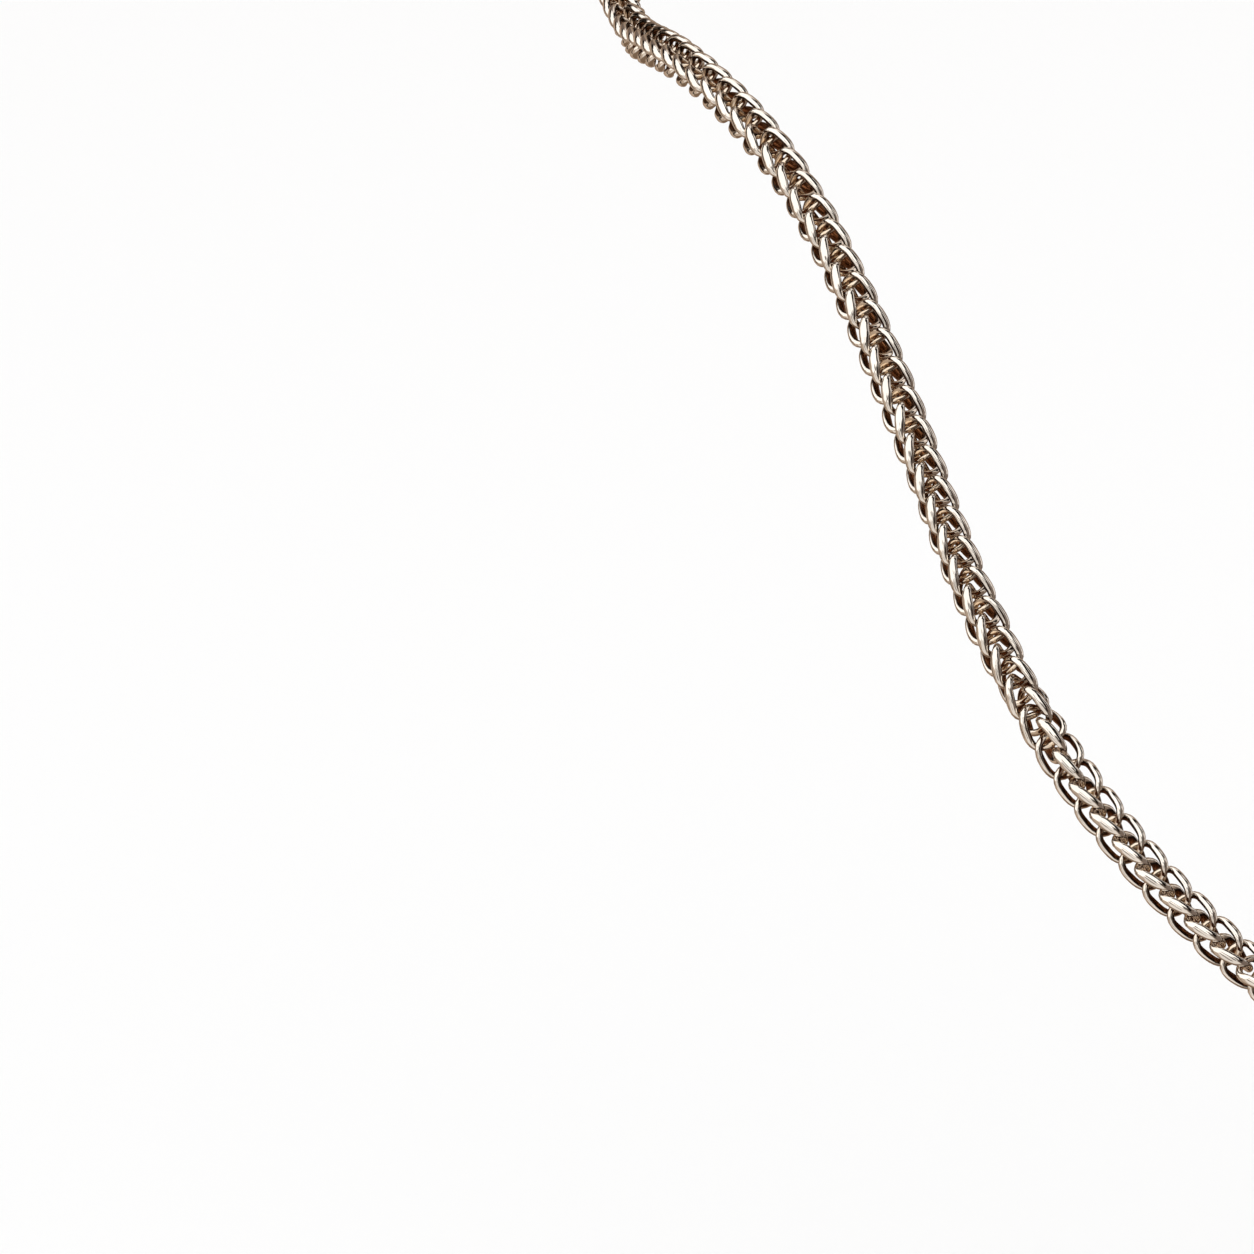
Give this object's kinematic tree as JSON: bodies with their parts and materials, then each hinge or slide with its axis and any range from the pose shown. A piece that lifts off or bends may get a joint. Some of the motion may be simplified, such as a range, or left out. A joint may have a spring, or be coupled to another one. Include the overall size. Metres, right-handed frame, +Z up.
{
  "type": "wheat chain necklace",
  "caption": "Neck chain of interlocked twisted wire links in four columns, a full loop in its worn form with a barrel clasp at the nape.",
  "frame": {"origin": "middle of the clasp, where the necklace sits on the back of the neck", "axes": "+Z up, -Y towards the wearer's front, +X to the viewer's right when the front is looked at; mirror-symmetric about the YZ plane"},
  "size_m": [0.1284, 0.129, 0.1054],
  "materials": {
    "chain_metal": "polished warm white gold, darker in the gaps between links",
    "clasp_metal": "finely turned warm white gold, darker in its seam and grip flutes"
  },
  "bodies": {
    "root": {"chain_left": "chain_metal", "chain_right": "chain_metal", "clasp": "clasp_metal"}
  },
  "joints": []
}
